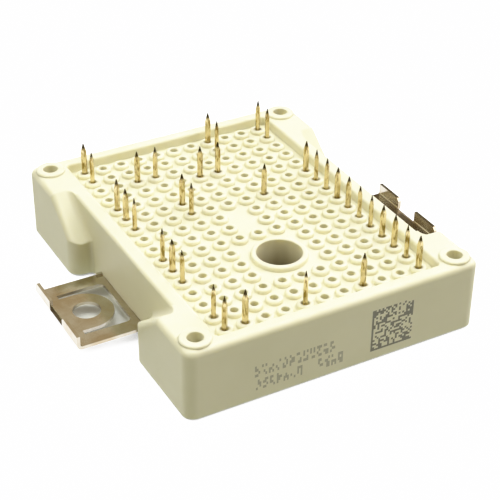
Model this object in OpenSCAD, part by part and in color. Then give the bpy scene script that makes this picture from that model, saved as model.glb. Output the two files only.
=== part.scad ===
// Power semiconductor module, 1200 V class: a moulded housing with a lattice of pin sockets,
// two stamped screw clamps, a copper-clad ceramic substrate with its chips, and contact pins.
// Frame: X runs from clamp to clamp, Y from front to rear, Z up from the heat-sink face.
// The origin is the middle of the heat-sink face.

/* [Housing] */
// Length of the housing, front to rear
housing_l = 56.7; // [56.2:0.1:60]
// Width of the housing across its corner blocks
housing_w = 48; // [47.6:0.1:52]
// Width of the body between the two clamp notches
waist_w = 41.2; // [40.8:0.1:41.6]
// Height of the rim above the heat-sink face
rim_z = 11.6; // [10.6:0.1:14]
// Height of the housing's foot above the heat-sink face
foot_z = 0.4; // [0.35:0.05:0.6]
// Radius of the four upright outer corners
corner_r = 1.7; // [1.5:0.1:2.4]
// Radius of the rounded top edges of the outer walls
edge_r = 0.9; // [0.4:0.1:1.4]
// Radius of the rounded top edges between the corner blocks
waist_edge_r = 0.5; // [0.3:0.1:0.8]
// Thickness of the top plate that holds the sockets
top_t = 3; // [2:0.1:4]

/* [Corner blocks] */
// Length of the notch between the corner blocks, where a clamp sits
notch_l = 22.6; // [20:0.1:24]
// Radius of the upright corner of each block beside the notch
notch_r = 2; // [1:0.1:2.6]
// Height of a block's top at the notch, where its ramp starts
ramp_z = 6; // [5:0.1:7]
// Slope of the ramp up to the rim, in degrees
ramp_angle = 37; // [32:0.5:42]
// Radius of the hollow corner between a ramp and the rim's wall
ramp_fillet_r = 1; // [0.5:0.1:1.5]
// Radius of the hollow upright corner between a block and the body
notch_fillet_r = 0.8; // [0.4:0.1:1]

/* [Socket lattice] */
// Distance between neighbouring sockets, both ways
pitch = 3.2; // [3.1:0.02:3.24]
// Number of socket columns, left to right
socket_cols = 11; // [11:1:11]
// Number of socket rows, front to rear
socket_rows = 16; // [16:1:16]
// Depth of the recess that the sockets stand in
recess_depth = 1.6; // [1.2:0.1:2]
// Width of the recess from the outer socket columns to its side walls
recess_side = 2.3; // [1.6:0.05:2.4]
// Width of the recess from the outer socket rows to its end walls
recess_end = 2.05; // [1.6:0.05:2.2]
// Radius of the recess's upright corners
recess_r = 0.5; // [0.3:0.1:1]
// Radius of the rounded edge where the rim drops into the recess
recess_edge_r = 0.4; // [0.2:0.05:0.5]
// Outer diameter of a socket's raised collar
socket_d = 2.6; // [2.2:0.1:2.8]
// Height of a socket's collar above the recess floor
socket_h = 0.65; // [0.4:0.05:1]
// Diameter of the hole through a socket
socket_bore = 1.26; // [1.1:0.02:1.5]
// Radius of the rounded top edge of the collars
collar_r = 0.35; // [0.2:0.05:0.4]

/* [Centre well] */
// Diameter of the round well that reaches down to the substrate
well_d = 7; // [6:0.1:7.4]
// Outer diameter of the well's tube
well_tube_d = 8.6; // [8.2:0.1:8.8]
// Height of the well's collar above the recess floor
well_h = 0.75; // [0.4:0.05:1]

/* [Board standoffs] */
// Distance between the standoffs across the width
standoff_w = 42.5; // [42:0.1:43]
// Distance between the standoffs along the length
standoff_l = 51; // [50.4:0.1:51.4]
// Outer diameter of a standoff's collar
standoff_d = 4.6; // [4:0.1:4.8]
// Height of a standoff's collar above the rim
standoff_h = 0.4; // [0.4:0.1:1]
// Radius of the rounded top edge of a standoff's collar
standoff_edge_r = 0.25; // [0.1:0.05:0.35]
// Diameter of the blind screw hole in a standoff
standoff_bore = 2.4; // [2:0.1:2.6]
// Depth of the blind screw hole
standoff_depth = 8; // [6:0.1:9]

/* [Clamps] */
// Distance between the two clamp screws
clamp_screws = 53; // [52:0.1:54]
// Diameter of a clamp's screw hole
clamp_bore = 4.3; // [4:0.1:4.6]
// Width of a clamp along the module's side
clamp_w = 16; // [15:0.1:18]
// Thickness of the clamps' sheet
sheet_t = 0.5; // [0.4:0.05:0.6]
// Height of a clamp's underside above the heat-sink face
clamp_z = 1.6; // [1:0.05:2]
// Distance from the screw to the bend of the upturned flange
flange_reach = 4.1; // [3.5:0.1:4.5]
// Height of the flange above the clamp's underside
flange_h = 2.3; // [1.8:0.1:3]
// Angle of the flange from flat, in degrees
flange_angle = 90; // [75:1:90]
// Inner radius of the flange's bend
bend_r = 0.3; // [0.2:0.05:0.5]
// Width of the gap in the middle of the flange
flange_gap = 4.6; // [3:0.1:6]
// Bevel on one upper corner of each half of the flange
ear_bevel = 0.5; // [0.2:0.1:1]
// Radius of the tongue's round end, which is half the tongue's width
tongue_r = 4.5; // [4.2:0.05:4.7]
// Distance from the screw to the tip of the tongue
tongue_reach = 4.1; // [3.8:0.05:4.4]
// Width of the slots along the tongue
slot_w = 0.95; // [0.6:0.05:1.2]
// Distance from the screw to the outer ends of the slots
slot_reach = 2.6; // [2:0.1:3.2]
// Width of the strip left between the slots and the housing
strip_w = 0.95; // [0.85:0.05:1.2]
// Radius of the clamp's round corner at the housing
clamp_corner_r = 1.8; // [1:0.1:2.2]
// Width of the small lug turned up at the clamp's other corner
lug_w = 1; // [0.6:0.1:1.4]
// Height of the lug above the sheet
lug_h = 0.3; // [0.2:0.05:0.6]
// Depth to which a clamp's tabs reach into the housing
tab_depth = 1.2; // [0.8:0.1:1.5]
// Width of each tab
tab_w = 3; // [2:0.1:3.5]
// Distance between the middles of a clamp's two tabs
tab_spacing = 10; // [9:0.1:11]
// Clearance round a tab in its slot
tab_clearance = 0.05; // [0.02:0.01:0.1]

/* [Substrate] */
// Width of the ceramic plate
ceramic_w = 37.6; // [37.2:0.1:38]
// Length of the ceramic plate
ceramic_l = 51.8; // [51.4:0.1:52.2]
// Thickness of the ceramic plate
ceramic_t = 0.38; // [0.32:0.02:0.6]
// Thickness of the copper on either face of the ceramic
copper_t = 0.3; // [0.25:0.05:0.4]
// Bare border of the ceramic round the lower copper
copper_border = 0.8; // [0.5:0.1:1.2]
// Clearance round the ceramic in the housing's rebate
rebate_clearance = 0.1; // [0.05:0.01:0.2]
// Ledge of the housing that rests on the ceramic's edge
ledge_w = 0.85; // [0.5:0.05:1]
// Gap between neighbouring copper tracks
track_gap = 0.8; // [0.6:0.1:1]

/* [Chips and bond wires] */
// Side of a transistor chip
igbt_side = 5.5; // [5:0.1:5.6]
// Side of a freewheel diode chip
diode_side = 4; // [3.4:0.1:4.2]
// Side of a rectifier diode chip
rectifier_side = 3.2; // [2.6:0.1:3.3]
// Thickness of every chip with its solder
chip_t = 0.15; // [0.12:0.01:0.2]
// Diameter of a bond wire
wire_d = 0.3; // [0.25:0.01:0.35]
// Distance between the two bond wires of a power chip
wire_spacing = 1; // [0.8:0.1:1.1]
// Length of the thermistor
thermistor_l = 1.5; // [1.3:0.05:1.55]
// Width of the thermistor
thermistor_w = 0.8; // [0.6:0.05:1.2]
// Height of the silicone gel above the substrate's copper
gel_h = 4; // [3.5:0.1:5]

/* [Pins] */
// Side of the square contact pins
pin_side = 0.64; // [0.6:0.01:0.7]
// Height of the pin tips above the heat-sink face
pin_tip_z = 16; // [15:0.1:18]
// Length of the pointed end of a pin
pin_point = 1.5; // [0.8:0.1:1.8]
// Side of the blunt end of a pin's point
pin_blunt = 0.1; // [0.05:0.01:0.2]
// Outer diameter of the sleeve that a pin is pressed into
sleeve_d = 1.3; // [1.2:0.05:1.4]
// Diameter of the sleeve's foot
sleeve_foot_d = 1.6; // [1.5:0.05:1.7]
// Height of a sleeve
sleeve_h = 2.6; // [2:0.1:3.2]
// Thickness of a sleeve's foot
sleeve_foot_t = 0.2; // [0.15:0.05:0.3]
// Clearance round a pin's corners in its sleeve
pin_clearance = 0.02; // [0.01:0.01:0.05]

/* [Hidden] */
// Each pin's column, row and turn about its own axis in degrees
PINS = [
    [0, 15, 30], [0, 14, 60], [7, 15, 20], [7, 14, 60], [10, 15, 45], [10, 14, 70],
    [2, 13, 10], [3, 13, 50], [5, 12, 30], [6, 12, 0], [0, 11, 40], [0, 10, 15],
    [0, 9, 60], [3, 10, 20], [3, 9, 50], [7, 9, 35], [0, 6, 60], [0, 5, 15],
    [0, 4, 70], [0, 1, 60], [0, 0, 45], [1, 0, 15], [4, 0, 60], [7, 0, 30],
    [10, 10, 20], [10, 9, 60], [10, 8, 45], [10, 7, 10], [10, 6, 30], [10, 5, 60],
    [10, 4, 50], [10, 3, 20], [10, 2, 15], [10, 1, 60], [10, 0, 10]
];
// Copper tracks: first column and row, last column and row
TRACKS = [
    [0, 12, 0, 15], [0, 7, 0, 11], [0, 2, 0, 6], [0, 0, 0, 1], [1, 0, 1, 1],
    [1, 12, 3, 15], [4, 12, 6, 15], [7, 12, 9, 15], [1, 7, 4, 11], [5, 7, 9, 11],
    [1, 2, 3, 6], [7, 2, 9, 6], [2, 0, 5, 1], [6, 0, 9, 1], [10, 0, 10, 1],
    [10, 2, 10, 3], [10, 4, 10, 5], [10, 6, 10, 7], [10, 8, 10, 9], [10, 10, 10, 11],
    [10, 12, 10, 15]
];
// Chips: column, row, and the direction in which their bond wires leave, in degrees
IGBTS = [
    [1.6, 8, 180], [1.6, 10.5, 180], [5.7, 8, 180], [5.7, 10.5, 180],
    [8.4, 8, -90], [8.4, 10.5, 90], [5, 14, 180]
];
DIODES = [
    [2, 2.6, 90], [2, 4, 90], [2, 5.4, 90], [7.9, 2.6, 90], [7.9, 4, 90],
    [7.9, 5.4, 90], [2, 14.5, 0]
];
RECTIFIERS = [
    [8.5, 12.8, 0], [8.5, 14.3, 0], [2.4, 0.55, 180], [4.85, 0.55, 0],
    [6.15, 0.55, 0], [8.5, 0.55, 0]
];

// Column and row of the thermistor
THERMISTOR = [10, 9.5];
// Distance from a chip's middle line to the start of its bond wires: rectifier and freewheel diodes
rectifier_inset = 0.6;
diode_inset = 0.4;
last_diode_inset = 1.1;
// Distance of a transistor's bond wires in from the chip's edge
igbt_inset = 0.9;
// Spans of the wires: to the next track, over a wide gap, and from one diode row to the next
short_span = 3.6;
long_span = 5.8;
row_span = 1.4 * pitch;

$fn = 48;
// Length by which a cutting shape passes its surface, and by which joined shapes overlap
pass = 1;
overlap = 0.01;

function x_of(col) = (col - (socket_cols - 1) / 2) * pitch;
function y_of(row) = (row - (socket_rows - 1) / 2) * pitch;
function at(place, z) = [x_of(place[0]), y_of(place[1]), z];

// Column and row of the well, and the sockets that it and the plain patch leave out
well_place = [5, 4];
function near_well(col, row) =
    abs(col - well_place[0]) <= 1 && abs(row - well_place[1]) <= 1;
function plain_patch(col, row) = col == 5 && (row == 7 || row == 8);
SOCKETS = [
    for (col = [0 : socket_cols - 1], row = [0 : socket_rows - 1])
        if (!near_well(col, row) && !plain_patch(col, row)) [col, row]
];

lattice_w = (socket_cols - 1) * pitch;
lattice_l = (socket_rows - 1) * pitch;
recess_w = lattice_w + 2 * recess_side;
recess_l = lattice_l + 2 * recess_end;
floor_z = rim_z - recess_depth;
plate_z = floor_z - top_t;

ceramic_z = copper_t;
track_z = ceramic_z + ceramic_t;
chip_z = track_z + copper_t;
wire_z = chip_z + chip_t;
gel_z = chip_z + gel_h;
cavity_w = ceramic_w - 2 * ledge_w;
cavity_l = ceramic_l - 2 * ledge_w;

hole_x = clamp_screws / 2;
bend_x = hole_x + flange_reach;
pin_seat = chip_z + sleeve_foot_t;
// Bore of a sleeve, which clears the corners of a square pin
sleeve_bore = pin_side * sqrt(2) + 2 * pin_clearance;

// Section from its axis out to w and up to h, with its top outer edge rounded
module edge_section(w, h, r) {
    square([w, h - r]);
    square([w - r, h]);
    translate([w - r, h - r]) circle(r = r);
}

// What rounds off the corner of a cut, with the corner at the origin
module inner_corner(r) {
    difference() {
        square(r);
        translate([r, r]) circle(r = r);
    }
}

// Section of a cut from its axis out to w and up past h, with the edge of its mouth rounded
module mouth_section(w, h, r) {
    square([w, h + pass]);
    translate([w, h]) {
        square([r, pass]);
        mirror([0, 1]) inner_corner(r);
    }
}

// Raised collar round an upright axis, with its top outer edge rounded
module collar(d, h, r) {
    rotate_extrude() edge_section(d / 2, h, r);
}

// Upright wall piece: the section above, drawn out along Y from y0 to y1
module along_y(y0, y1) {
    translate([0, y1, 0]) rotate([90, 0, 0]) linear_extrude(y1 - y0) children();
}

// The same drawn out along X, with the section's width laid along Y
module along_x(x0, x1) {
    translate([x0, 0, 0]) rotate([90, 0, 90]) linear_extrude(x1 - x0) children();
}

// Corner block without its ramp, at the right rear
module block_form() {
    h = rim_z - foot_z;
    corner = [housing_w / 2 - corner_r, housing_l / 2 - corner_r];
    near = notch_l / 2;
    inner = waist_w / 2 - corner_r;
    translate([0, 0, foot_z]) {
        intersection() {
            along_y(near - notch_fillet_r, corner[1]) edge_section(housing_w / 2, h, edge_r);
            linear_extrude(h) {
                translate([inner, near - notch_fillet_r])
                    square([waist_w / 2 - inner, notch_fillet_r + pass]);
                translate([waist_w / 2, near]) mirror([0, 1]) inner_corner(notch_fillet_r);
                translate([inner, near + notch_r])
                    square([housing_w / 2 - inner, corner[1] - near - notch_r]);
                translate([inner, near])
                    square([housing_w / 2 - notch_r - inner, notch_r + pass]);
                translate([housing_w / 2 - notch_r, near + notch_r]) circle(r = notch_r);
            }
        }
        intersection() {
            along_x(inner, corner[0]) edge_section(housing_l / 2, h, edge_r);
            translate([inner, near + notch_r, 0])
                cube([housing_w / 2, housing_l, h]);
        }
        translate([corner[0], corner[1], 0])
            rotate_extrude() edge_section(corner_r, h, edge_r);
    }
}

// Everything under the ramp, with its outer edge rounded and a hollow corner at the wall
module under_ramp() {
    deep = housing_l / 2;
    wall = waist_w / 2;
    translate([0, notch_l / 2, ramp_z]) rotate([ramp_angle, 0, 0])
        along_y(-housing_l, housing_l) {
            translate([0, -deep]) edge_section(housing_w / 2, deep, edge_r);
            difference() {
                square([wall + ramp_fillet_r, ramp_fillet_r]);
                translate([wall + ramp_fillet_r, ramp_fillet_r]) circle(r = ramp_fillet_r);
            }
        }
}

module corner_block() {
    intersection() {
        block_form();
        under_ramp();
    }
}

// Body between the notches, with its long edges and its end edges rounded
module body_form() {
    h = rim_z - foot_z;
    intersection() {
        translate([0, 0, foot_z]) for (side = [0, 1]) mirror([side, 0, 0])
            along_y(-housing_l / 2, housing_l / 2) edge_section(waist_w / 2, h, waist_edge_r);
        translate([0, 0, foot_z]) for (side = [0, 1]) mirror([0, side, 0])
            along_x(-waist_w / 2, waist_w / 2) edge_section(housing_l / 2, h, edge_r);
    }
}

// Recess that the sockets stand in, with the rim rounded over into it
module recess() {
    x = recess_w / 2 - recess_r;
    y = recess_l / 2 - recess_r;
    translate([0, 0, floor_z]) {
        for (side = [0, 1]) {
            mirror([side, 0, 0])
                along_y(-y, y) mouth_section(recess_w / 2, recess_depth, recess_edge_r);
            mirror([0, side, 0])
                along_x(-x, x) mouth_section(recess_l / 2, recess_depth, recess_edge_r);
        }
        for (sx = [-1, 1], sy = [-1, 1]) translate([sx * x, sy * y, 0])
            rotate_extrude() mouth_section(recess_r, recess_depth, recess_edge_r);
    }
}

module for_standoffs(z) {
    for (sx = [-1, 1], sy = [-1, 1])
        translate([sx * standoff_w / 2, sy * standoff_l / 2, z]) children();
}

module housing() color("ivory") difference() {
    union() {
        difference() {
            union() {
                body_form();
                for (sx = [0, 1], sy = [0, 1])
                    mirror([sx, 0, 0]) mirror([0, sy, 0]) corner_block();
            }
            recess();
            housing_cavity();
        }
        for (place = SOCKETS)
            translate(at(place, floor_z)) collar(socket_d, socket_h, collar_r);
        translate(at(well_place, floor_z)) collar(well_tube_d, well_h, collar_r);
        translate(at(well_place, track_z)) cylinder(d = well_tube_d, h = floor_z - track_z);
        for_standoffs(rim_z) collar(standoff_d, standoff_h, standoff_edge_r);
    }
    for (place = SOCKETS)
        translate(at(place, plate_z - pass))
            cylinder(d = socket_bore, h = top_t + socket_h + 2 * pass, $fn = 24);
    translate(at(well_place, track_z - pass)) cylinder(d = well_d, h = rim_z);
    for_standoffs(rim_z + standoff_h - standoff_depth)
        cylinder(d = standoff_bore, h = standoff_depth + pass);
    for (turn = [0, 180]) rotate(turn) clamp_tabs(tab_clearance);
}

// Inside of the housing: the rebate that seats the ceramic, and the room above it
module housing_cavity() {
    translate([0, 0, track_z / 2])
        cube([ceramic_w + 2 * rebate_clearance, ceramic_l + 2 * rebate_clearance, track_z],
            center = true);
    translate([-cavity_w / 2, -cavity_l / 2, foot_z]) cube([cavity_w, cavity_l, plate_z - foot_z]);
}

// The two tabs that hold a clamp in the housing, grown all round by a clearance
module clamp_tabs(grow) {
    for (sy = [-1, 1])
        translate([waist_w / 2 - tab_depth - grow, sy * tab_spacing / 2 - tab_w / 2 - grow,
            clamp_z - grow])
            cube([tab_depth + grow + overlap, tab_w + 2 * grow, sheet_t + 2 * grow]);
}

// Section of a clamp: flat sheet, bend, and flange, with x away from the housing
module clamp_section() {
    outer_r = bend_r + sheet_t;
    translate([waist_w / 2, 0]) square([bend_x - waist_w / 2, sheet_t]);
    translate([bend_x, outer_r]) {
        intersection() {
            difference() {
                circle(r = outer_r);
                circle(r = bend_r);
            }
            polygon([[0, 0], [0, -2 * outer_r], [2 * outer_r, -2 * outer_r],
                2 * outer_r * [sin(flange_angle), -cos(flange_angle)]]);
        }
        rotate(flange_angle) translate([0, -outer_r])
            square([(flange_h - outer_r * (1 - cos(flange_angle))) / sin(flange_angle), sheet_t]);
    }
}

// Slots that free the tongue, seen from above
module tongue_slots() {
    reach = hole_x - waist_w / 2 - strip_w;
    difference() {
        translate([hole_x - reach, -tongue_r - slot_w])
            square([reach + slot_reach, 2 * (tongue_r + slot_w)]);
        translate([hole_x + tongue_r - tongue_reach, 0]) circle(r = tongue_r);
        translate([hole_x, -tongue_r]) square([slot_reach + pass, 2 * tongue_r]);
        for (sy = [-1, 1])
            translate([hole_x - reach, sy * (tongue_r + slot_w)]) mirror([0, (sy + 1) / 2])
                inner_corner(slot_w);
    }
}

// Right-hand clamp: a stamped strip with a tongue, an upturned flange and two tabs
module clamp() {
    difference() {
        union() {
            along_y(-clamp_w / 2, clamp_w / 2)
                translate([0, clamp_z]) clamp_section();
            clamp_tabs(0);
            translate([waist_w / 2, -clamp_w / 2, clamp_z + sheet_t / 2])
                cube([lug_w, sheet_t, sheet_t / 2 + lug_h]);
        }
        translate([0, 0, clamp_z - pass]) linear_extrude(sheet_t + 2 * pass) {
            tongue_slots();
            translate([hole_x, 0]) circle(d = clamp_bore);
            translate([waist_w / 2, clamp_w / 2]) mirror([0, 1]) inner_corner(clamp_corner_r);
        }
        flange_cut();
        for (y = [-clamp_w / 2, flange_gap / 2])
            translate([bend_x, y, clamp_z + flange_h]) rotate([45, 0, 0])
                cube([2 * flange_h, sqrt(2) * ear_bevel, sqrt(2) * ear_bevel], center = true);
    }
}

// Gap in the middle of the flange, cut down to halfway round the bend
module flange_cut() {
    outer_r = bend_r + sheet_t;
    translate([bend_x, 0, clamp_z + outer_r]) rotate([0, 90 - flange_angle / 2, 0])
        translate([-flange_h, -flange_gap / 2, 0])
            cube([flange_h + outer_r + pass, flange_gap, 2 * flange_h]);
}

module clamp_right() color("tan") clamp();

// The same stamping, turned round for the other side
module clamp_left() color("tan") rotate(180) clamp();

module ceramic_plate() color("white")
    translate([0, 0, ceramic_z + ceramic_t / 2]) cube([ceramic_w, ceramic_l, ceramic_t], center = true);

module lower_copper() color("chocolate")
    translate([0, 0, copper_t / 2])
        cube([ceramic_w - 2 * copper_border, ceramic_l - 2 * copper_border, copper_t], center = true);

// Etched upper copper, kept clear of the housing's inner walls and of the well
module copper_tracks() color("chocolate")
    intersection() {
        translate([0, 0, track_z]) for (t = TRACKS)
            translate([x_of(t[0] - 0.5) + track_gap / 2, y_of(t[1] - 0.5) + track_gap / 2, 0])
                cube([(t[2] - t[0] + 1) * pitch - track_gap,
                    (t[3] - t[1] + 1) * pitch - track_gap, copper_t]);
        translate([0, 0, track_z + copper_t / 2])
            cube([cavity_w - track_gap / 2, cavity_l - track_gap / 4, 2 * copper_t], center = true);
    }

module chip(place, side) {
    translate(at(place, chip_z + chip_t / 2)) cube([side, side, chip_t], center = true);
}

module igbt_chip(i) color("slategray") chip(IGBTS[i], igbt_side);

module freewheel_diode(i) color("dimgray") chip(DIODES[i], diode_side);

module rectifier_diodes() color("gray") for (place = RECTIFIERS) chip(place, rectifier_side);

// Thermistor across the gap between the tracks of the two pins beside it
module thermistor() color("black")
    translate(at(THERMISTOR, chip_z + thermistor_w / 2))
        cube([thermistor_w, thermistor_l, thermistor_w], center = true);

// Half loop of wire from a chip, which lands span away, a foot lower if it meets a track
module bond_wire(place, inset, span, foot) {
    translate(at(place, wire_z)) rotate(place[2]) translate([inset + span / 2, 0, 0]) {
        rotate([90, 0, 0]) rotate_extrude(angle = 180)
            translate([span / 2, 0]) circle(d = wire_d, $fn = 16);
        if (foot > 0)
            translate([span / 2, 0, -foot]) cylinder(d = wire_d, h = foot, $fn = 16);
    }
}

// Two wires side by side
module wire_pair(place, inset, span, foot) {
    for (side = [-1, 1])
        translate(side * wire_spacing / 2 * [-sin(place[2]), cos(place[2]), 0])
            bond_wire(place, inset, span, foot);
}

module bond_wires() color("silver") {
    for (place = IGBTS) wire_pair(place, igbt_side / 2 - igbt_inset, short_span, chip_t);
    for (i = [0, 1, 3, 4]) wire_pair(DIODES[i], diode_inset, row_span - 2 * diode_inset, 0);
    for (i = [2, 5]) wire_pair(DIODES[i], diode_inset, row_span, chip_t);
    wire_pair(DIODES[6], last_diode_inset, row_span, chip_t);
    for (i = [0, 1, 2, 5]) bond_wire(RECTIFIERS[i], rectifier_inset, short_span, chip_t);
    bond_wire(RECTIFIERS[3], rectifier_inset, short_span - diode_inset, 0);
    bond_wire(RECTIFIERS[4], rectifier_inset, long_span, 0);
}

module sleeve() {
    difference() {
        union() {
            cylinder(d = sleeve_d, h = sleeve_h);
            cylinder(d = sleeve_foot_d, h = sleeve_foot_t);
        }
        translate([0, 0, sleeve_foot_t]) cylinder(d = sleeve_bore, h = sleeve_h);
    }
}

module pin_sleeves() color("goldenrod") for (place = PINS) translate(at(place, chip_z)) sleeve();

// Side view of a pin, from its seat to its blunt point
module pin_profile(l) {
    polygon([[-pin_side / 2, 0], [pin_side / 2, 0], [pin_side / 2, l - pin_point],
        [pin_blunt / 2, l], [-pin_blunt / 2, l], [-pin_side / 2, l - pin_point]]);
}

module pin(i) color("gold") {
    l = pin_tip_z - pin_seat;
    translate(at(PINS[i], pin_seat)) rotate(PINS[i][2]) intersection() {
        along_x(-pin_side / 2, pin_side / 2) pin_profile(l);
        along_y(-pin_side / 2, pin_side / 2) pin_profile(l);
    }
}

// Gel poured over the substrate, with all that it surrounds taken out of it
module silicone_gel() color("lightcyan") difference() {
    translate([-cavity_w / 2, -cavity_l / 2, track_z]) cube([cavity_w, cavity_l, gel_z - track_z]);
    copper_tracks();
    for (i = [0 : len(IGBTS) - 1]) igbt_chip(i);
    for (i = [0 : len(DIODES) - 1]) freewheel_diode(i);
    rectifier_diodes();
    thermistor();
    bond_wires();
    for (place = PINS) translate(at(place, chip_z)) {
        cylinder(d = sleeve_d, h = sleeve_h);
        cylinder(d = sleeve_foot_d, h = sleeve_foot_t);
        cylinder(d = sleeve_bore, h = gel_h + pass);
    }
    translate(at(well_place, track_z)) cylinder(d = well_tube_d, h = gel_z);
}

housing();
clamp_left();
clamp_right();
ceramic_plate();
lower_copper();
copper_tracks();
for (i = [0 : len(IGBTS) - 1])
    igbt_chip(i);
for (i = [0 : len(DIODES) - 1])
    freewheel_diode(i);
rectifier_diodes();
thermistor();
bond_wires();
pin_sleeves();
silicone_gel();
for (i = [0 : len(PINS) - 1])
    pin(i);
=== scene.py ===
"""Looks of a power transistor module: a moulded housing, gilt contact pins and two stamped clamps."""

import bpy
from mathutils import Matrix, Vector

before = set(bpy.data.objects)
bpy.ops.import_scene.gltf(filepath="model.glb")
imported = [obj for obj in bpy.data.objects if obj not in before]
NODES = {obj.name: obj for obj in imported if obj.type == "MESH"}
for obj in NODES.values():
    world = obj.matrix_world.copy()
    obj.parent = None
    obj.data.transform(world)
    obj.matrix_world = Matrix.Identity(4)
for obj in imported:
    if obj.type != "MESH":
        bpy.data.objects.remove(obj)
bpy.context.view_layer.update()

MM = 0.001
# Sockets of a Map Range node, by number, because two sets of them share their names
FROM_MIN, FROM_MAX, TO_MIN, TO_MAX = 1, 2, 3, 4


def linear(code):
    """An sRGB hex colour such as #F3EFD2, as linear red, green, blue and alpha."""
    parts = [int(code[i : i + 2], 16) / 255 for i in (1, 3, 5)]
    return [c / 12.92 if c <= 0.04045 else ((c + 0.055) / 1.055) ** 2.4 for c in parts] + [1.0]


def add(tree, kind, values=None, links=None, stops=(), **settings):
    """Adds one node with its settings, the values of its sockets, what is linked in, and a ramp's two stops."""
    made = tree.nodes.new("ShaderNode" + kind)
    for name, value in settings.items():
        setattr(made, name, value)
    for socket, value in (values or {}).items():
        made.inputs[socket].default_value = value
    for socket, source in (links or {}).items():
        tree.links.new(source, made.inputs[socket])
    for number, (position, code) in enumerate(stops):
        made.color_ramp.elements[number].position = position
        made.color_ramp.elements[number].color = linear(code)
    return made


def new_material(name):
    """An empty material, its node tree, and the object's own coordinates in millimetres."""
    material = bpy.data.materials.new(name)
    material.use_nodes = True
    tree = material.node_tree
    tree.nodes.clear()
    place = add(tree, "TexCoord")
    in_mm = add(tree, "VectorMath", {1: (1 / MM,) * 3}, {0: place.outputs["Object"]}, operation="MULTIPLY")
    return material, tree, in_mm.outputs[0]


def finish_material(tree, shader):
    """Links the shader to the material's output."""
    add(tree, "OutputMaterial", links={"Surface": shader.outputs[0]})


# Print on the front face, in millimetres: left and bottom edge, cells across and up, width and height of a cell,
# cells in one group of marks (the last one stays blank), share of cells inked, and how dark the ink is.
# The first is a square code, which has no groups. All of it is chance: there are no letters and nothing to read.
FRONT_FACE = -28.2
INK = "#4F4B33"
PRINTED_FIELDS = [
    dict(left=5.4, bottom=1.8, across=22, up=22, wide=0.32, high=0.325, group=0, share=0.5, dark=0.85),
    dict(left=-13.6, bottom=4.2, across=48, up=4, wide=0.275, high=0.47, group=4, share=0.5, dark=0.48),
    dict(left=-13.4, bottom=1.9, across=28, up=4, wide=0.275, high=0.44, group=4, share=0.5, dark=0.48),
    dict(left=-3.4, bottom=1.8, across=16, up=4, wide=0.275, high=0.48, group=4, share=0.5, dark=0.48),
]


def printed_field(tree, parts, left, bottom, across, up, wide, high, group, share, dark):
    """How dark the ink of one field is: random cells, and a code's solid left side and foot."""

    def cell_number(axis, start, size):
        shifted = add(tree, "Math", {1: start}, {0: parts.outputs[axis]}, operation="SUBTRACT")
        scaled = add(tree, "Math", {1: size}, {0: shifted.outputs[0]}, operation="DIVIDE")
        return add(tree, "Math", links={0: scaled.outputs[0]}, operation="FLOOR").outputs[0]

    column, row = cell_number("X", left, wide), cell_number("Z", bottom, high)
    # The third value is the seed, which differs from field to field
    cell = add(tree, "CombineXYZ", {2: left + 10 * bottom}, {0: column, 1: row})
    chance = add(tree, "TexWhiteNoise", links={"Vector": cell.outputs[0]}, noise_dimensions="3D")
    ink = add(tree, "Math", {1: 1 - share}, {0: chance.outputs["Value"]}, operation="GREATER_THAN").outputs[0]
    if group:
        in_group = add(tree, "Math", {1: group}, {0: column}, operation="FLOORED_MODULO")
        shown = add(tree, "Math", {1: group - 1.5}, {0: in_group.outputs[0]}, operation="LESS_THAN")
        ink = add(tree, "Math", links={0: ink, 1: shown.outputs[0]}, operation="MULTIPLY").outputs[0]
    else:
        for number in (column, row):
            first = add(tree, "Math", {1: 0.5}, {0: number}, operation="LESS_THAN")
            ink = add(tree, "Math", links={0: ink, 1: first.outputs[0]}, operation="MAXIMUM").outputs[0]
    for number, count in ((column, across), (row, up)):
        middle = (count - 1) / 2
        inside = add(tree, "Math", {1: middle, 2: middle + 0.5}, {0: number}, operation="COMPARE")
        ink = add(tree, "Math", links={0: ink, 1: inside.outputs[0]}, operation="MULTIPLY").outputs[0]
    return add(tree, "Math", {1: dark}, {0: ink}, operation="MULTIPLY").outputs[0]


def front_print(tree, place):
    """How dark the ink on the front face is: a square of cells, and rows of marks."""
    parts = add(tree, "SeparateXYZ", links={0: place})
    ink = None
    for field in PRINTED_FIELDS:
        more = printed_field(tree, parts, **field)
        ink = more if ink is None else add(tree, "Math", links={0: ink, 1: more}).outputs[0]
    front = add(tree, "Math", {1: FRONT_FACE}, {0: parts.outputs["Y"]}, operation="LESS_THAN")
    return add(tree, "Math", links={0: ink, 1: front.outputs[0]}, operation="MULTIPLY").outputs[0]


# The round well, in millimetres: its axis along X and Y, its radius with a little over, and the heights where the
# painted shade on its wall starts and is darkest
WELL_AXIS = (0.0, -11.2)
WELL_RADIUS = 3.55
WELL_SHADE_START_Z = 10.2
WELL_SHADE_DARKEST_Z = 5.5


def well_painted_shade(tree, place):
    """How much painted shade the moulding gets: nothing outside the well, and growing towards the foot inside it."""
    parts = add(tree, "SeparateXYZ", links={0: place})
    flat = add(tree, "CombineXYZ", links={0: parts.outputs["X"], 1: parts.outputs["Y"]})
    away = add(tree, "VectorMath", {1: (*WELL_AXIS, 0.0)}, {0: flat.outputs[0]}, operation="DISTANCE")
    within = add(tree, "Math", {1: WELL_RADIUS}, {0: away.outputs["Value"]}, operation="LESS_THAN")
    # Painted shade grows from its start height down to its darkest height
    depth = add(tree, "MapRange", {FROM_MIN: WELL_SHADE_START_Z, FROM_MAX: WELL_SHADE_DARKEST_Z}, {0: parts.outputs["Z"]})
    return add(tree, "Math", links={0: within.outputs[0], 1: depth.outputs[0]}, operation="MULTIPLY").outputs[0]


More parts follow.
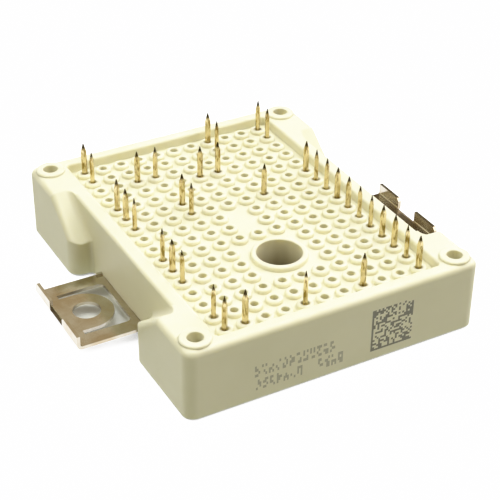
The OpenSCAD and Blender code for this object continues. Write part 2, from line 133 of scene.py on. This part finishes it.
def moulded_pbt():
    """Glass-filled PBT, injection moulded: a slightly translucent cream, softly rounded at every edge."""
    material, tree, place = new_material("moulded_pbt")
    # The flow of the melt leaves broad pale patches, about 9 mm wide
    bloom = add(tree, "TexNoise", {"Scale": 1 / 9.0, "Detail": 3.0}, {"Vector": place})
    cream = add(tree, "ValToRGB", links={"Fac": bloom.outputs["Fac"]}, stops=[(0.35, "#EAE7CB"), (0.65, "#EEEBD1")])
    printed = add(
        tree,
        "MixRGB",
        {"Color2": linear(INK)},
        {"Fac": front_print(tree, place), "Color1": cream.outputs["Color"]},
    )
    # Painted shade: the well's wall turns darker and browner towards the foot
    well_shaded = add(
        tree,
        "MixRGB",
        {"Color2": linear("#9A8F6C")},
        {"Fac": well_painted_shade(tree, place), "Color1": printed.outputs[0]},
    )
    # Glass fibres just under the skin give a fine grain. They are 0.01 mm thick, and drawn at 0.12 mm to show
    grain = add(tree, "TexNoise", {"Scale": 1 / 0.12, "Detail": 2.0}, {"Vector": place})
    # The mould's edges are broken by a third of a millimetre
    soft_edges = add(tree, "Bevel", {"Radius": 0.35 * MM}, samples=6)
    bump = add(
        tree,
        "Bump",
        {"Strength": 0.12, "Distance": 0.02 * MM},
        {"Height": grain.outputs["Fac"], "Normal": soft_edges.outputs["Normal"]},
    )
    shader = add(
        tree,
        "BsdfPrincipled",
        {
            "Roughness": 0.48,
            "IOR": 1.52,
            "Subsurface Weight": 1.0,
            "Subsurface Radius": (1.0, 1.0, 1.0),
            "Subsurface Scale": 0.5 * MM,
        },
        {"Base Color": well_shaded.outputs[0], "Normal": bump.outputs["Normal"]},
    )
    finish_material(tree, shader)
    return material


def rolled_strip():
    """Spring strip, cold rolled and nickel plated: a bright grey that mirrors the brown room, faintly stained."""
    material, tree, place = new_material("rolled_strip")
    # Rolling lines run along Y. They are some 0.02 mm apart, and drawn at 0.15 mm to show
    stretched = add(tree, "VectorMath", {1: (1.0, 0.04, 1.0)}, {0: place}, operation="MULTIPLY")
    lines = add(tree, "TexNoise", {"Scale": 1 / 0.15, "Detail": 3.0}, {"Vector": stretched.outputs[0]})
    # Stains, a few millimetres wide
    stain = add(tree, "TexNoise", {"Scale": 1 / 3.0, "Detail": 4.0}, {"Vector": place})
    nickel = add(tree, "ValToRGB", links={"Fac": stain.outputs["Fac"]}, stops=[(0.35, "#BDAF97"), (0.65, "#D0CBC0")])
    rough = add(tree, "MapRange", {TO_MIN: 0.12, TO_MAX: 0.2}, {0: lines.outputs["Fac"]})
    bump = add(tree, "Bump", {"Strength": 0.05, "Distance": 0.01 * MM}, {"Height": lines.outputs["Fac"]})
    shader = add(
        tree,
        "BsdfPrincipled",
        {"Metallic": 1.0},
        {
            "Base Color": nickel.outputs["Color"],
            "Roughness": rough.outputs[0],
            "Normal": bump.outputs["Normal"],
        },
    )
    finish_material(tree, shader)
    return material


# Heights where a painted dark reflection starts on a pin's tip, and is full, in millimetres
TIP_REFLECTION_STARTS_Z = 14.9
TIP_REFLECTION_FULL_Z = 15.3


def gold_plating():
    """Gold plated on drawn square wire: a pale warm metal, streaked along the wire, with a painted dark reflection
    that makes the tips nearly black.
    """
    material, tree, place = new_material("gold_plating")
    # Lines of the drawing die run up the wire. They are some 0.01 mm apart, and drawn at 0.12 mm to show
    drawn = add(tree, "VectorMath", {1: (1.0, 1.0, 0.06)}, {0: place}, operation="MULTIPLY")
    lines = add(tree, "TexNoise", {"Scale": 1 / 0.12, "Detail": 2.0}, {"Vector": drawn.outputs[0]})
    # Worn spots, about half a millimetre wide and three times as long
    smeared = add(tree, "VectorMath", {1: (1.0, 1.0, 0.35)}, {0: place}, operation="MULTIPLY")
    worn = add(tree, "TexNoise", {"Scale": 1 / 0.45, "Detail": 2.0}, {"Vector": smeared.outputs[0]})
    plate = add(tree, "ValToRGB", links={"Fac": worn.outputs["Fac"]}, stops=[(0.36, "#96824A"), (0.5, "#D9C99C")])
    height = add(tree, "SeparateXYZ", links={0: place})
    # Painted dark reflection: the colour turns nearly black towards the tip
    tip = add(tree, "MapRange", {FROM_MIN: TIP_REFLECTION_STARTS_Z, FROM_MAX: TIP_REFLECTION_FULL_Z}, {0: height.outputs["Z"]})
    colour = add(
        tree,
        "MixRGB",
        {"Color2": linear("#3A3018")},
        {"Fac": tip.outputs[0], "Color1": plate.outputs["Color"]},
    )
    rough = add(tree, "MapRange", {TO_MIN: 0.16, TO_MAX: 0.3}, {0: lines.outputs["Fac"]})
    shader = add(
        tree,
        "BsdfPrincipled",
        {"Metallic": 1.0},
        {"Base Color": colour.outputs[0], "Roughness": rough.outputs[0]},
    )
    finish_material(tree, shader)
    return material


def fine_surface(name, codes, grain_mm, roughness, metallic=0.0):
    """A plain inner surface: two close tones in patches of grain_mm, over a low relief."""
    material, tree, place = new_material(name)
    patches = add(tree, "TexNoise", {"Scale": 1 / grain_mm, "Detail": 3.0}, {"Vector": place})
    colour = add(
        tree,
        "ValToRGB",
        links={"Fac": patches.outputs["Fac"]},
        stops=[(0.35, codes[0]), (0.65, codes[1])],
    )
    bump = add(tree, "Bump", {"Strength": 0.2, "Distance": 0.01 * MM}, {"Height": patches.outputs["Fac"]})
    shader = add(
        tree,
        "BsdfPrincipled",
        {"Roughness": roughness, "Metallic": metallic},
        {"Base Color": colour.outputs["Color"], "Normal": bump.outputs["Normal"]},
    )
    finish_material(tree, shader)
    return material


def dress(material, starts):
    """Gives the material to every CAD node whose name starts with one of the given words."""
    for name, thing in NODES.items():
        if name.startswith(starts):
            thing.data.materials.clear()
            thing.data.materials.append(material)


def dress_nodes():
    """Gives every node the material that the real piece is made of."""
    dress(moulded_pbt(), ("housing",))
    dress(rolled_strip(), ("clamp_",))
    dress(gold_plating(), ("pin_",))
    # Fired alumina: a matt white with the grain of the sintered powder
    dress(fine_surface("fired_alumina", ("#ECEBE4", "#F6F5F0"), 0.3, 0.6), ("ceramic_plate",))
    # Bonded copper: pink metal whose coarse grains show as patches
    dress(fine_surface("bonded_copper", ("#B87453", "#C98A66"), 0.8, 0.35, 1.0), ("lower_copper", "copper_"))
    # Metallised silicon: a grey mirror, faintly mottled
    silicon = fine_surface("metallised_silicon", ("#8C8F96", "#A2A5AB"), 0.5, 0.25, 1.0)
    dress(silicon, ("igbt_", "freewheel_", "rectifier_"))
    # Fired thermistor body: a dull near-black
    dress(fine_surface("fired_oxide", ("#1F1E1C", "#2B2A27"), 0.2, 0.7), ("thermistor",))
    # Drawn aluminium wire: soft and bright
    dress(fine_surface("drawn_aluminium", ("#C6C7C9", "#D8D9DA"), 0.3, 0.3, 1.0), ("bond_wires",))
    # Turned copper alloy sleeves under a thin plating: a warm yellow metal
    dress(fine_surface("turned_alloy", ("#B79A5C", "#C9AE70"), 0.3, 0.3, 1.0), ("pin_sleeves",))
    # Silicone gel: pale, with a wet surface
    dress(fine_surface("silicone_gel", ("#C9CBC2", "#D4D6CE"), 2.0, 0.15), ("silicone_gel",))


# The camera: its place in metres, the directions of its right and upper side, and its lens
CAMERA_PLACE = (-0.08747, -0.15825, 0.12265)
CAMERA_RIGHT = (0.87500376, -0.48401735, 0.00977873)
CAMERA_UP = (0.25746046, 0.48235147, 0.83728799)
LENS_MM = 99.62
SENSOR_MM = 36.0
LENS_SHIFT = (-0.001, 0.0006)


def place_camera():
    """Looks down on the front left corner, as the module lies on a table."""
    right, up = Vector(CAMERA_RIGHT), Vector(CAMERA_UP)
    turn = Matrix((right, up, right.cross(up))).transposed()
    data = bpy.data.cameras.new("camera")
    data.lens = LENS_MM
    data.sensor_width = SENSOR_MM
    data.shift_x, data.shift_y = LENS_SHIFT
    data.clip_start = 0.01
    data.clip_end = 20.0
    camera = bpy.data.objects.new("camera", data)
    camera.matrix_world = Matrix.Translation(CAMERA_PLACE) @ turn.to_4x4()
    bpy.context.scene.collection.objects.link(camera)
    bpy.context.scene.camera = camera


# Soft boxes round the table: name, place and side in metres, watts, colour
SOFT_BOXES = [
    ("overhead", (0.0, 0.1, 0.9), 0.5, 4.9, "#F6FCFF"),
    ("rear_left", (-0.62, 0.22, 0.7), 0.5, 2.8, "#FFFDEC"),
    ("rear_right", (0.62, 0.22, 0.7), 0.5, 4.4, "#EEF2FF"),
    ("front_right", (0.4, -0.5, 0.7), 0.5, 2.6, "#FFFBF6"),
    ("right", (0.8, 0.0, 0.4), 0.5, 1.8, "#FFEBC8"),
    # A dim tan card, which gives the clamps their brown
    ("card", (0.15, 0.72, 0.56), 0.5, 0.36, "#FFF1D2"),
]
# Light from the white table below, and from the dim brown room above
TABLE_GLOW = "#A9AC90"
CEILING_GLOW = "#6F634A"
# How far above and below the horizon the one fades into the other, as the sine of the angle
HORIZON_BLEND = 0.05


def soft_box(name, place, side, watts, colour):
    """A square soft light at a place, turned to face the module."""
    data = bpy.data.lights.new(name, "AREA")
    data.shape = "SQUARE"
    data.size = side
    data.energy = watts
    data.color = linear(colour)[:3]
    light = bpy.data.objects.new(name, data)
    light.location = place
    light.rotation_euler = Vector(place).to_track_quat("Z", "Y").to_euler()
    bpy.context.scene.collection.objects.link(light)


def light_studio():
    """Soft boxes above, strongest behind, in a dim room whose lower half is the glow of the white table."""
    for box in SOFT_BOXES:
        soft_box(*box)
    world = bpy.data.worlds.new("room")
    world.use_nodes = True
    tree = world.node_tree
    direction = add(tree, "TexCoord")
    height = add(tree, "SeparateXYZ", links={0: direction.outputs["Generated"]})
    upward = add(tree, "MapRange", {FROM_MIN: -HORIZON_BLEND, FROM_MAX: HORIZON_BLEND}, {0: height.outputs["Z"]})
    glow = add(tree, "ValToRGB", links={"Fac": upward.outputs[0]}, stops=[(0.0, TABLE_GLOW), (1.0, CEILING_GLOW)])
    tree.links.new(glow.outputs["Color"], tree.nodes["Background"].inputs["Color"])
    bpy.context.scene.world = world


# Film response: scene brightness against brightness in the picture
RESPONSE = [
    (0.7, 0.7), (0.8, 0.79), (0.9, 0.87), (1.0, 0.93), (1.1, 0.965), (1.2, 0.985), (1.3, 1.0),
]
WHITE_AT = 1.4


def set_film():
    """Plain sRGB with a soft shoulder, as a camera gives."""
    view = bpy.context.scene.view_settings
    view.view_transform = "Standard"
    view.use_curve_mapping = True
    view.curve_mapping.white_level = (WHITE_AT,) * 3
    combined = view.curve_mapping.curves[3]
    for bright, shown in RESPONSE:
        combined.points.new(bright / WHITE_AT, shown)
    view.curve_mapping.update()


FLOOR_SIDE = 3.0
# Floor under the clamps, which shows through their holes: its sides along X and Y, in millimetres
CLAMP_SHADE_X = (20.0, 30.2)
CLAMP_SHADE_Y = (-5.9, 9.0)
SHADE_EDGE = 1.0
# How much of its glow the floor keeps there, a painted shadow on top of the lamps' own shadows
GLOW_UNDER_CLAMPS = 0.1
# Painted shade on the floor's glow, by ambient occlusion: from where the module covers it closely to where it lies
# open, and how open each of them is
CLOSE_GLOW = 0.15
OPEN_GLOW = 1.35
CLOSE_AT = 0.05
OPEN_AT = 0.4
# How near the module has to be to count as cover
COVER_MM = 6


def under_clamps(tree, place):
    """One on the floor under a clamp, falling to zero over its soft edge: the matt patch and its painted shadow."""
    parts = add(tree, "SeparateXYZ", links={0: place})
    sideways = add(tree, "Math", links={0: parts.outputs["X"]}, operation="ABSOLUTE")
    inside = None
    for source, (low, high) in ((sideways.outputs[0], CLAMP_SHADE_X), (parts.outputs["Y"], CLAMP_SHADE_Y)):
        for edge, inner in ((low, low + SHADE_EDGE), (high, high - SHADE_EDGE)):
            step = add(
                tree,
                "MapRange",
                {FROM_MIN: edge, FROM_MAX: inner},
                {0: source},
                interpolation_type="SMOOTHSTEP",
            )
            if inside is None:
                inside = step
            else:
                inside = add(
                    tree,
                    "Math",
                    links={0: inside.outputs[0], 1: step.outputs[0]},
                    operation="MULTIPLY",
                )
    return inside.outputs[0]


def opal_sheet():
    """Lit opal acrylic: a white glow with painted shade close to the module, and a matt pale grey where the clamps
    cover it, its glow dimmed there as a painted shadow.
    """
    material, tree, place = new_material("opal_sheet")
    # Barely seen clouds, 60 mm wide
    shade = add(tree, "TexNoise", {"Scale": 1 / 60.0}, {"Vector": place}).outputs["Fac"]
    lit = add(tree, "ValToRGB", links={"Fac": shade}, stops=[(0.3, "#5C5C5B"), (0.7, "#5E5E5D")])
    matt = add(tree, "ValToRGB", links={"Fac": shade}, stops=[(0.3, "#CFD0C8"), (0.7, "#D2D3CB")])
    covered = under_clamps(tree, place)
    colour = add(
        tree,
        "MixRGB",
        links={"Fac": covered, "Color1": lit.outputs["Color"], "Color2": matt.outputs["Color"]},
    )
    # Painted shade: the floor's glow dims where ambient occlusion finds the module close
    openness = add(tree, "AmbientOcclusion", {"Distance": COVER_MM * MM}, samples=8)
    glow = add(
        tree,
        "MapRange",
        {FROM_MIN: CLOSE_AT, FROM_MAX: OPEN_AT, TO_MIN: CLOSE_GLOW, TO_MAX: OPEN_GLOW},
        {0: openness.outputs["AO"]},
    )
    # Painted shadow: under the clamps the glow falls to GLOW_UNDER_CLAMPS
    painted_clamp_shadow = add(tree, "MapRange", {TO_MIN: 1.0, TO_MAX: GLOW_UNDER_CLAMPS}, {0: covered})
    strength = add(tree, "Math", links={0: glow.outputs[0], 1: painted_clamp_shadow.outputs[0]}, operation="MULTIPLY")
    shader = add(
        tree,
        "BsdfPrincipled",
        {"Roughness": 0.8, "Emission Color": (1, 1, 1, 1)},
        {"Base Color": colour.outputs[0], "Emission Strength": strength.outputs[0]},
    )
    finish_material(tree, shader)
    return material


def lay_floor():
    """A glowing white table top, with painted shade close to the module, and under the clamps a matt patch whose
    glow is dimmed as a painted shadow, where the lamps' cast shadows show.
    """
    half = FLOOR_SIDE / 2
    mesh = bpy.data.meshes.new("table_top")
    corners = [(-half, -half, 0), (half, -half, 0), (half, half, 0), (-half, half, 0)]
    mesh.from_pydata(corners, [], [(0, 1, 2, 3)])
    mesh.materials.append(opal_sheet())
    floor = bpy.data.objects.new("table_top", mesh)
    # The module's matt surfaces take the table's light from the lower half of the room instead
    floor.visible_diffuse = False
    bpy.context.scene.collection.objects.link(floor)


dress_nodes()
place_camera()
light_studio()
set_film()
lay_floor()
